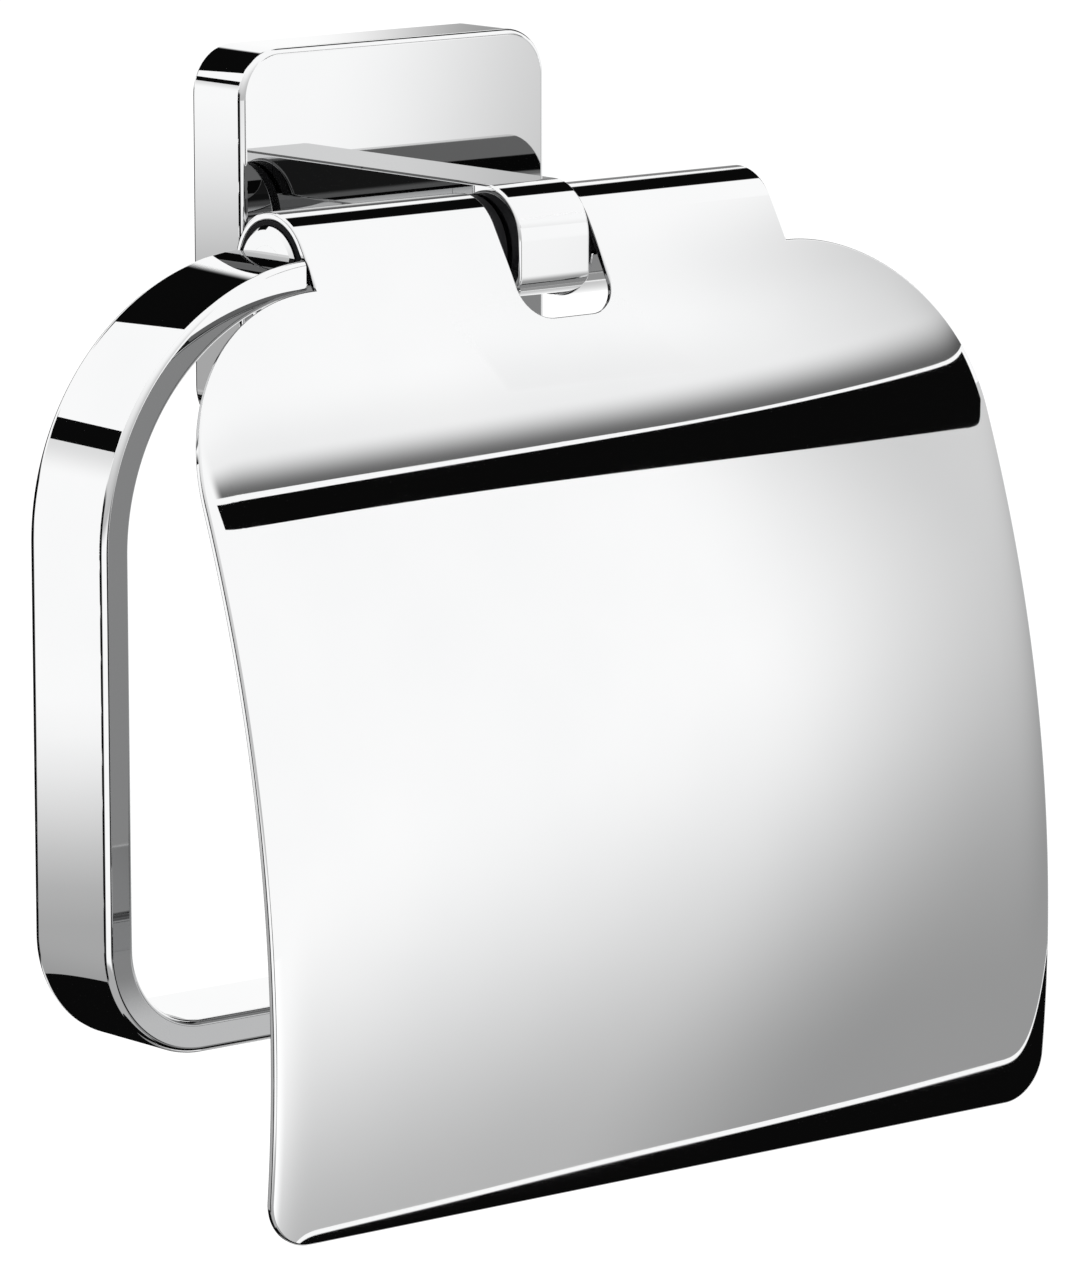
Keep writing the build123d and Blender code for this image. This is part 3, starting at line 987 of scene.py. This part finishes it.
@dataclass
class SupportArm:
    """The flat arm with its saddle over the hinge core and the hook in front of it.

    The inner line is divided to lie opposite the outer one: the saddle at two angles in degrees, and
    the straight behind the hook at two shares of the drop.
    """

    half_width: float = 5.5
    top: float = 7.95
    thick: float = 5.0
    core: float = 5.25
    front: float = -8.5
    back: float = 23.2
    bend: float = 6.5
    lip_round: float = 2.8
    drop: float = 5.5
    tip_corner: float = 2.0
    heel: float = 0.3
    edge: float = 0.35
    saddle_marks: Pair = (110.0, 160.0)
    drop_marks: Pair = (0.72, 0.86)
    columns: int = 11
    round_steps: int = 7
    flat_steps: int = 5
    finish: Finish = ChromeFinish()

    def sides(self) -> tuple[Array, Array]:
        """Outer and inner line of the arm's side view about the hinge axis.

        Returns:
            Rows of y, z and the normal's y and z, as many for the inner line as for the outer one.
        """
        bar, crest, bend, brow, face, tip, sole, toe = 8, 14, 28, 6, 18, 12, 6, 4
        top, front, back, core = self.top, self.front, self.back, self.core
        under = top - self.thick
        seat = np.sqrt(core**2 - under**2)
        low, heel, round_, lip = -self.drop, self.heel, self.lip_round, -core
        near, far = self.saddle_marks
        upper, lower = (share * low for share in self.drop_marks)
        bend_y, bend_z = front + self.bend, top - self.bend
        outer = (
            straight((back, top), (seat, top), (0, 1), bar),
            straight((seat, top), (bend_y, top), (0, 1), crest),
            bow((bend_y, bend_z), self.bend, 90, 180, bend),
            straight((front, bend_z), (front, 0), (-1, 0), brow),
            straight((front, 0), (front, low + round_), (-1, 0), face),
            bow((front + round_, low + round_), round_, 180, 270, tip),
            straight((front + round_, low), (lip - heel, low), (0, -1), sole),
            bow((lip - heel, low + heel), heel, 270, 315, toe),
        )
        inner = (
            straight((back, under), (seat, under), (0, -1), bar),
            bow((0, 0), core, np.degrees(np.arctan2(under, seat)), near, crest, -1.0),
            bow((0, 0), core, near, far, bend, -1.0),
            bow((0, 0), core, far, 180, brow, -1.0),
            straight((lip, 0), (lip, upper), (1, 0), face),
            straight((lip, upper), (lip, lower), (1, 0), tip),
            straight((lip, lower), (lip, low + heel), (1, 0), sole),
            bow((lip - heel, low + heel), heel, 0, -45, toe),
        )
        return np.concatenate(outer), np.concatenate(inner)

    def width_at(self, z: Array) -> tuple[Array, Array]:
        """Half width at a height, narrowed by the tip's quarter circles, and how far its side faces down."""
        rise = np.clip((self.tip_corner - z - self.drop) / self.tip_corner, 0.0, 1.0)
        return self.half_width - self.tip_corner * (1.0 - np.sqrt(1.0 - rise**2)), rise

    def edge_round(self) -> tuple[Array, Array, Array]:
        """Angles of the rounded edge, and how far it is sunk and stands back from the side there."""
        angle = np.linspace(0.0, QUARTER, self.round_steps)
        return angle, self.edge * (1 - np.cos(angle)), self.edge * (1 - np.sin(angle))

    def add_sides(self, shell: Shell, outer: Array, inner: Array) -> None:
        """Add the flat sides between both lines of the side view, with a rounded edge along each line.

        Args:
            shell: shell of the arm.
            outer: the outer line.
            inner: the inner line.
        """
        angle, sunk, inset = self.edge_round()
        first, last = (line[:, None, :2] - line[:, None, 2:] * sunk[:, None] for line in (outer, inner))
        mix = np.linspace(0.0, 1.0, self.flat_steps + 2)[1:-1, None]
        flat = first[:, -1:] * (1 - mix) + last[:, -1:] * mix
        places = np.concatenate((first, flat, last[:, ::-1]), axis=1)
        half, rise = self.width_at(places[..., 1])
        inset = np.concatenate((inset, np.zeros(self.flat_steps), inset[::-1]))
        facing = np.concatenate((np.sin(angle), np.ones(self.flat_steps), np.sin(angle[::-1])))[:, None]
        rounds = [np.repeat(line[:, None, 2:], angle.size, axis=1) for line in (outer, inner)]
        lines = np.concatenate((rounds[0], 0 * flat, rounds[1]), axis=1)
        around = vectors(0.0, lines[..., 0], lines[..., 1])
        side = vectors(np.sqrt(1.0 - rise**2), 0.0, -rise)
        shell.add(
            at_hinge(half - inset, places[..., 0], places[..., 1]),
            np.sqrt(1.0 - facing**2) * around + facing * side, both_sides=True,
        )

    def build(self) -> Object:
        """Carry both lines of the side view across the width, add the sides and close the end in the rosette.

        Returns:
            The arm.
        """
        shell = Shell()
        outer, inner = self.sides()
        share = np.linspace(-1.0, 1.0, self.columns)
        for line in (outer, inner):
            half = self.width_at(line[:, 1])[0] - self.edge
            wall = at_hinge(half[:, None] * share, line[:, :1], line[:, 1:2])
            shell.add(wall, vectors(0 * share, line[:, 2:3], line[:, 3:4]))
        self.add_sides(shell, outer, inner)
        _, sunk, inset = self.edge_round()
        reach = self.half_width - inset
        x = np.concatenate((-reach[::-1], (self.half_width - self.edge) * share[1:-1], reach))
        depth = np.concatenate((sunk[::-1], 0 * share[1:-1], sunk))
        ends = np.stack((self.top - depth, self.top - self.thick + depth))
        shell.add(at_hinge(x, self.back, ends), vectors(0.0, 1.0, 0 * ends))
        return shell.make("support_arm_bar")


@dataclass
class HingeSleeve:
    """A dark flanged bush that lines one knuckle of the lid."""

    side: Side
    bore: float = 5.3
    tube: float = 5.9
    flange: float = 6.6
    flange_start: float = 5.85
    flange_end: float = 7.25
    end: float = 37.0
    rounding: float = 0.1
    round_steps: int = 6
    round_cells: int = 128
    finish: Finish = PlasticFinish()

    def profile(self) -> tuple[Array, Array]:
        """Half section in (x, r), whose every corner is an arc between the tangent points of its two lines.

        Returns:
            Points and outward normals, closed.
        """
        corner = np.array((
            (self.flange_start, self.bore), (self.end, self.bore), (self.end, self.tube),
            (self.flange_end, self.tube), (self.flange_end, self.flange), (self.flange_start, self.flange),
        ))
        before, after = (unit(np.roll(corner, shift, axis=0) - corner) for shift in (1, -1))
        hollow = np.sign(after[:, 0] * before[:, 1] - after[:, 1] * before[:, 0])[:, None, None]
        middle = corner + self.rounding * (before + after)
        turn = np.linspace(0.0, QUARTER, self.round_steps)[:, None]
        around = -np.cos(turn) * after[:, None] - np.sin(turn) * before[:, None]
        points = (middle[:, None] + self.rounding * around).reshape(-1, 2)
        normals = (hollow * around).reshape(-1, 2)
        return np.vstack((points, points[:1])), np.vstack((normals, normals[:1]))

    def build(self) -> Object:
        """Turn the half section round the hinge axis.

        Returns:
            The bush.
        """
        (x, radius), (lean_x, lean) = (rows.T for rows in self.profile())
        turn = np.linspace(0.0, 2 * np.pi, self.round_cells + 1)[:, None]
        way_y, way_z, sign = np.cos(turn), np.sin(turn), self.side.value
        shell = Shell()
        points = at_hinge(sign * x, radius * way_y, radius * way_z)
        shell.add(points, vectors(sign * lean_x, lean * way_y, lean * way_z))
        return shell.make(f"{self.side.name.lower()}_bush")


@dataclass
class WallMount:
    """The rosette with its hidden bracket and screws, which keep their CAD shapes."""

    cover: Finish = ChromeFinish()
    bracket: Finish = PlatedFinish()
    screws: Finish = ScrewFinish()

    def dress(self, workshop: Workshop) -> None:
        """Give each node its finish.

        Args:
            workshop: what holds the nodes.
        """
        workshop.dress(self.cover, "wall_rosette")
        workshop.dress(self.bracket, "wall_bracket")
        workshop.dress(self.screws, "rosette_set_screw", "arm_screws")


@dataclass
class HingePin:
    """The hinge core with its screws, which keep their CAD shapes."""

    core: Finish = ChromeFinish()
    screws: Finish = ScrewFinish()

    def dress(self, workshop: Workshop) -> None:
        """Give the core and its screws their finishes."""
        workshop.dress(self.core, "hinge_core")
        workshop.dress(self.screws, "core_screws", "rail_grub_screw")


class Shown(Enum):
    """Mirror images that show a card, as its cover in a first image and in an image of an image."""

    ALL = (1.0, 1.0)
    FIRST = (1.0, 0.0)
    LATER = (0.0, 1.0)


class Along(Enum):
    """Ways in which a card's tone fades."""

    AZIMUTH = "azimuth"
    HEIGHT = "height"
    ABOVE = "height above the lower edge"
    BELOW = "depth below the upper edge"


@dataclass(frozen=True)
class Fade:
    """Smooth loss of tone on a card: none at the start, the whole depth at the end.

    Start and end are in degrees. The slant moves both of them for every degree of height, or for
    every degree of azimuth from the card's left side.
    """

    along: Along
    start: float
    end: float
    depth: float
    slant: float = 0.0

    def kept(self, azimuth: Array, height: Array, low: Array, high: Array) -> Array:
        """Share of the tone that is kept at places of a card.

        Args:
            azimuth: azimuths of the places.
            height: their heights.
            low: height of the card's lower edge at the azimuths.
            high: height of its upper edge there.

        Returns:
            The share, from 0 to 1.
        """
        place = {
            Along.AZIMUTH: azimuth - self.slant * height,
            Along.HEIGHT: height - self.slant * (azimuth - azimuth[0]),
            Along.ABOVE: height - low,
            Along.BELOW: high - height,
        }[self.along]
        return 1.0 - self.depth * smooth_step((place - self.start) / (self.end - self.start))


@dataclass(frozen=True)
class StudioCard:
    """A card on the inside of a sphere round the holder, seen only in the chrome.

    Angles are in degrees: azimuth from the front (-Y) towards +X, and height above the horizon.
    Both edges are smooth curves through their heights at the azimuths. The card is soft over some
    degrees at its left, right, lower and upper edge.
    """

    name: str
    azimuth: tuple[float, ...]
    low: tuple[float, ...] | float
    high: tuple[float, ...] | float
    tone: float = 0.003
    fades: tuple[Fade, ...] = ()
    soft: tuple[float, float, float, float] = (0, 0, 0, 0)
    radius: float = 700
    shown: Shown = Shown.ALL
    columns: int = 129
    rows: int = 65

    def edge_line(self, heights: tuple[float, ...] | float, azimuth: Array) -> Array:
        """Smooth curve through heights at the card's azimuths.

        Between two neighbours it is the cubic that starts and ends with the mean slopes there.

        Args:
            heights: the heights, or one for all azimuths.
            azimuth: where the curve is wanted.

        Returns:
            Its heights there.
        """
        known = np.array(self.azimuth, dtype=float)
        height = np.broadcast_to(np.array(heights, dtype=float), known.shape)
        slope = np.gradient(height, known)
        at = np.clip(np.searchsorted(known, azimuth) - 1, 0, known.size - 2)
        width = known[at + 1] - known[at]
        t = (azimuth - known[at]) / width
        ends = height[at] * (1 + 2 * t) * (1 - t) ** 2 + height[at + 1] * t**2 * (3 - 2 * t)
        return ends + width * (slope[at] * t * (1 - t) ** 2 - slope[at + 1] * t**2 * (1 - t))

    def build(self, middle: Triple, material: Material) -> Object:
        """Make a grid of azimuth by height on the sphere, with its tone and cover kept at each point.

        Args:
            middle: centre of the sphere.
            material: the cards' common material.

        Returns:
            The card.
        """
        azimuth = np.linspace(self.azimuth[0], self.azimuth[-1], self.columns)[:, None]
        low, high = self.edge_line(self.low, azimuth), self.edge_line(self.high, azimuth)
        height = low + np.linspace(0.0, 1.0, self.rows) * (high - low)
        tone, cover = np.full(height.shape, self.tone), np.ones_like(height)
        for fade in self.fades:
            tone = tone * fade.kept(azimuth, height, low, high)
        distances = (azimuth - azimuth[0], azimuth[-1] - azimuth, height - low, high - height)
        for distance, width in zip(distances, self.soft):
            cover = cover * (smooth_step(distance / width) if width else 1.0)
        turn, up = np.radians(azimuth), np.radians(height)
        way = vectors(np.sin(turn) * np.cos(up), -np.cos(turn) * np.cos(up), np.sin(up))
        card = stage_sheet(self.name, np.array(middle) + self.radius * way, material)
        first, later = self.shown.value
        for name, values in (("tone", tone), ("cover", cover * first), ("gain", cover * (later - first))):
            kept = card.data.attributes.new(name, "FLOAT", "POINT").data
            kept.foreach_set("value", values.ravel().astype(np.float32))
        card.visible_camera = card.visible_diffuse = card.visible_shadow = False
        card.visible_transmission = card.visible_volume_scatter = False
        return card


BAND_AZIMUTH = (22, 26, 30, 34, 38, 42, 46, 50, 54, 57, 60)
LOW_AZIMUTH = (20, 26, 32, 38, 44, 48, 52, 56, 60, 64)
LOW_EDGE = (-40.3, -38.3, -36.4, -34.1, -31.7, -29.8, -27.4, -24.0, -20.0, -15.5)
PIPING_EDGE = tuple(height + 0.45 for height in LOW_EDGE)

LID_CARDS = (
    StudioCard(
        "hook_card", (34, 40, 46, 52), (44.2, 42.4, 40.2, 37.6), 56, 1.0, (Fade(Along.ABOVE, 9, 0, 0.09),),
        soft=(1, 2, 0.6, 4), radius=105, shown=Shown.FIRST,
    ),
    StudioCard(
        "band_flag", BAND_AZIMUTH, (29.2, 28.65, 28.1, 27.5, 26.6, 25.4, 24.0, 22.5, 21.1, 20.6, 21.5),
        (31.65, 31.2, 30.75, 30.2, 29.5, 28.65, 27.75, 26.95, 26.4, 26.25, 26.3),
        radius=294, shown=Shown.FIRST,
    ),
    StudioCard(
        "upper_fade", (*BAND_AZIMUTH, 68),
        (32.4, 31.9, 31.35, 30.75, 29.95, 29.05, 28.03, 27.22, 26.68, 26.57, 26.65, 28.0), 44, 1.0,
        (Fade(Along.ABOVE, 3.6, 0, 0.85), Fade(Along.ABOVE, 10, 2.5, 0.1), Fade(Along.AZIMUTH, 50, 62, 0.35)),
        soft=(4, 4, 0, 9), radius=294, shown=Shown.FIRST,
    ),
    StudioCard(
        "front_softbox", (10, 64), -46, (30.7, 22.5), 1.0,
        (Fade(Along.AZIMUTH, 39.35, 48.26, 0.338, 0.122), Fade(Along.HEIGHT, -19.64, -58.34, 0.518, 0.932)),
        soft=(7, 0, 0, 0), radius=300,
    ),
    StudioCard("low_piping", LOW_AZIMUTH, LOW_EDGE, PIPING_EDGE, 1.0, radius=290, shown=Shown.FIRST),
    StudioCard("low_flag", LOW_AZIMUTH, -62, LOW_EDGE, radius=292, shown=Shown.FIRST),
)
ROOM_CARDS = (
    StudioCard("ground_cap", (-165, 75), -89.9, -33, soft=(8, 8, 0, 0), radius=705, shown=Shown.FIRST),
    StudioCard(
        "front_grey", (-126, -2, 6, 16), -60, (76, 76, 50, 26), 1.0, (Fade(Along.HEIGHT, 62, -15, 0.58),),
        soft=(6, 9, 0, 14), radius=702, shown=Shown.FIRST,
    ),
    StudioCard(
        "right_side", (68, 98), -60, 18, 1.0, (Fade(Along.HEIGHT, 14, -22, 0.7),),
        soft=(6, 4, 0, 8), radius=702, shown=Shown.FIRST,
    ),
    StudioCard(
        "back_low", (95, 215), -89.9, -12, 1.0, (Fade(Along.HEIGHT, -14, -75, 0.75),),
        soft=(8, 8, 0, 6), radius=706, shown=Shown.FIRST,
    ),
    StudioCard("mirror_dome", (-180, 180), 17, 89.9, 0.18, soft=(0, 0, 8, 0), radius=706, shown=Shown.LATER),
    StudioCard("mirror_low", (112, 168), -17, 4, 0.8, soft=(4, 4, 3, 4), radius=704, shown=Shown.LATER),
    StudioCard("mirror_back", (118, 158), 6, 30, 0.5, soft=(6, 6, 5, 6), radius=704, shown=Shown.LATER),
    StudioCard("mirror_left", (-150, -40), 28, 62, 0.02, soft=(8, 8, 6, 0), radius=704, shown=Shown.LATER),
)
EDGE_CARDS = (
    StudioCard("right_flag", (99.5, 132), 20, 62, soft=(2.5, 2, 0, 0)),
    StudioCard("right_grey", (112, 144.5), 2, 25, 0.22, soft=(4, 3.5, 12, 3)),
    StudioCard("back_flag", (171, 208.3), 34, 58, soft=(4, 0, 0, 0), radius=160),
    StudioCard("rail_strip", (-152, -134), 19, 24),
    StudioCard("rail_shade", (-152, -134), 11, 19, 0.75, soft=(0, 0, 8, 0)),
    StudioCard(
        "rail_fade", (-141.2, -128), -33.2, 6, 1.0,
        (Fade(Along.BELOW, 15.9, 19.8, 0.6), Fade(Along.BELOW, 20, 49, 0.22)),
    ),
    StudioCard(
        "bend_fade", (-165, -141.2), -33.2, -10, 1.0,
        (Fade(Along.BELOW, -0.1, 3.8, 0.6), Fade(Along.BELOW, 4, 33, 0.22)), soft=(0, 0, 0, 4),
    ),
    StudioCard(
        "corner_flag", (150, 160, 170, 186, 203, 217, 228, 235), -62,
        (-24, -27, -34, -40, -40, -36, -31.5, -33), radius=200, shown=Shown.FIRST,
    ),
    StudioCard(
        "rosette_fade", (-165, -141.2), -33.2, 6, 1.0,
        (Fade(Along.BELOW, 6.7, 10.6, 0.6), Fade(Along.BELOW, 11, 40, 0.22)), radius=701,
    ),
    StudioCard("back_edge", (150, 213), -26, 9, soft=(0, 0, 3, 3)),
    StudioCard("edge_light", (-88, -12), -24, 4, 1.0, soft=(2, 0, 5, 8), radius=701),
    StudioCard("front_strip", (-12, 17), -22, 2, soft=(2, 6, 8, 9)),
    StudioCard("left_strip", (-136.5, -92), -35, 15, soft=(0, 2, 4, 6)),
)


@dataclass
class Studio:
    """White room with cards for the chrome to mirror, a soft key lamp and a pale floor."""

    middle: Triple = (0.0, -40.0, -45.0)
    cards: tuple[StudioCard, ...] = LID_CARDS + ROOM_CARDS + EDGE_CARDS
    floor_z: float = -1600.0
    floor_half: float = 14000.0
    floor_points: int = 9
    floor_tone: float = 0.86
    floor_glow: float = 0.4
    # Share of the floor's tone and glow kept in mirror images of mirror images: painted shade in those
    # reflections.
    floor_deep_mirror_shade: float = 0.22
    fill: float = 0.8
    # Share of the world's and the cards' glow kept for every mirror after the first: painted shade in mirror
    # images of mirror images.
    later_mirror_shade: float = 0.68
    key_power: float = 10.0
    key_size: float = 1200.0
    key_place: Triple = (-900.0, -1200.0, 1200.0)

    def seen(self, shader: Shader) -> Socket:
        """Tell what is seen from soft light.

        Args:
            shader: the shader that asks.

        Returns:
            1 for what the camera sees itself, in a mirror or through glass, and 0 for soft light.
        """
        path = shader.node("ShaderNodeLightPath").outputs
        mirrored = shader.math("MAXIMUM", path["Is Camera Ray"], path["Is Glossy Ray"])
        return shader.math("MAXIMUM", mirrored, path["Is Transmission Ray"])

    def deep(self, shader: Shader) -> Socket:
        """1 for what is seen in the mirror image of a mirror image."""
        path = shader.node("ShaderNodeLightPath").outputs
        return shader.math("GREATER_THAN", path["Glossy Depth"], PAST_FIRST_MIRROR)

    def dimmed(self, shader: Shader, strength: Socket | float) -> Socket:
        """Lower a glow's strength by every mirror after the first, as painted shade in those reflections.

        Args:
            shader: the shader of the glow.
            strength: its strength in a first mirror image.

        Returns:
            The strength that is left.
        """
        path = shader.node("ShaderNodeLightPath").outputs
        more = shader.math("MAXIMUM", shader.math("SUBTRACT", path["Glossy Depth"], 1.0), 0.0)
        return shader.math("MULTIPLY", shader.math("POWER", self.later_mirror_shade, more), strength)

    def make_world(self) -> None:
        """White where it is seen, and a little less in the light that it gives; dimmed for every mirror after
        the first, as painted shade in those reflections.
        """
        world = bpy.data.worlds.new("studio")
        bpy.context.scene.world = world
        shader = Shader(world.name, world)
        lit, shown = (
            shader.node("ShaderNodeBackground", Color=(1.0, 1.0, 1.0, 1.0), Strength=strength)
            for strength in (self.fill, self.dimmed(shader, 1.0))
        )
        shader.show(shader.join("ShaderNodeMixShader", lit, shown, Fac=self.seen(shader)))

    def make_floor(self) -> None:
        """Wide pale floor, far enough below the holder for views from underneath, darker in mirror images of
        mirror images as painted shade there.
        """
        shader = Shader("pale_floor")
        # Painted shade: in mirror images of mirror images the floor keeps only a share of its tone and glow.
        kept = shader.math("MULTIPLY_ADD", self.deep(shader), self.floor_deep_mirror_shade - 1.0, 1.0)
        glow = shader.math("MULTIPLY", self.seen(shader), shader.math("MULTIPLY", kept, self.floor_glow))
        pale = shader.node("ShaderNodeBsdfDiffuse", Color=shader.math("MULTIPLY", kept, self.floor_tone))
        light = shader.node("ShaderNodeEmission", Strength=glow)
        shader.show(shader.join("ShaderNodeAddShader", pale, light))
        across = np.linspace(-self.floor_half, self.floor_half, self.floor_points)
        stage_sheet("floor", vectors(across[:, None], across, self.floor_z), shader.material)

    def make_key(self) -> None:
        """Large soft lamp from the upper left front, which the chrome doesn't show."""
        lamp = bpy.data.lights.new("key", "AREA")
        lamp.size, lamp.energy = self.key_size * MM, self.key_power
        key = link_object("key", lamp)
        key.location = [place * MM for place in self.key_place]
        key.rotation_mode = "QUATERNION"
        aim = Vector(self.middle) * MM - key.location
        key.rotation_quaternion = aim.to_track_quat("-Z", "Y")
        key.visible_glossy = False

    def make_cards(self) -> None:
        """Cards that glow with their tone, and are clear where their edges fade."""
        shader = Shader("studio_card")
        tone, cover, gain = (
            shader.node("ShaderNodeAttribute", {"attribute_name": name}).outputs["Fac"]
            for name in ("tone", "cover", "gain")
        )
        # The cards' glow is dimmed for every mirror after the first: painted shade in those reflections.
        glow = shader.node("ShaderNodeEmission", Strength=self.dimmed(shader, tone))
        clear = shader.node("ShaderNodeBsdfTransparent")
        shown = shader.math("MULTIPLY_ADD", self.deep(shader), gain, cover)
        shader.show(shader.join("ShaderNodeMixShader", clear, glow, Fac=shown))
        for card in self.cards:
            card.build(self.middle, shader.material)
        log.info("studio: %d cards", len(self.cards))

    def build(self) -> None:
        """Set up the whole studio."""
        for make in (self.make_world, self.make_floor, self.make_key, self.make_cards):
            make()


@dataclass
class PhotoCamera:
    """Camera with a long lens, to the left of the holder and a little above it."""

    azimuth: float = -39.69
    elevation: float = 10.055
    roll: float = -0.135
    distance: float = 976.86
    target: Triple = (0.0, -40.0, 0.0)
    aside: float = -1.75
    above: float = -46.52
    lens: float = 227.08
    sensor: float = 36.0
    clip: Pair = (10.0, 100000.0)

    def build(self) -> None:
        """Stand the camera back from the target along its two angles, and shift it in its own plane."""
        turn, rise, roll = np.radians((self.azimuth, self.elevation, self.roll))
        back = np.array((np.sin(turn) * np.cos(rise), -np.cos(turn) * np.cos(rise), np.sin(rise)))
        right = np.array((np.cos(turn), np.sin(turn), 0.0))
        up = np.cross(back, right)
        place = np.array(self.target) + back * self.distance + right * self.aside + up * self.above
        rolled_right = np.cos(roll) * right + np.sin(roll) * up
        rolled_up = np.cos(roll) * up - np.sin(roll) * right
        data = bpy.data.cameras.new("camera")
        data.lens, data.sensor_width, data.sensor_fit = self.lens, self.sensor, "AUTO"
        data.clip_start, data.clip_end = (end * MM for end in self.clip)
        camera = link_object("camera", data)
        turned = Matrix(np.stack((rolled_right, rolled_up, back), axis=1).tolist()).to_4x4()
        camera.matrix_world = Matrix.Translation(Vector((place * MM).tolist())) @ turned
        bpy.context.scene.camera = camera


def main() -> None:
    """Load the frame, build and dress every piece, and set up the studio and the camera."""
    logging.basicConfig(level=logging.INFO, format="%(name)s: %(message)s")
    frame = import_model()
    workshop = Workshop(frame)
    WallMount().dress(workshop)
    HingePin().dress(workshop)
    arm, rail, lid = SupportArm(), PaperRail(), LidCover()
    workshop.fit(arm.build(), arm.finish, Body.HOLDER, "support_arm")
    workshop.fit(rail.build(), rail.finish, Body.HOLDER, "paper_rail")
    for side in Side:
        bush = HingeSleeve(side)
        workshop.fit(bush.build(), bush.finish, Body.LID, f"{side.name.lower()}_hinge_sleeve")
    workshop.fit(lid.build(), lid.finish, Body.LID, "lid_cover")
    Studio().build()
    PhotoCamera().build()
    bpy.context.scene.view_settings.view_transform = "Standard"


if __name__ == "__main__":
    main()
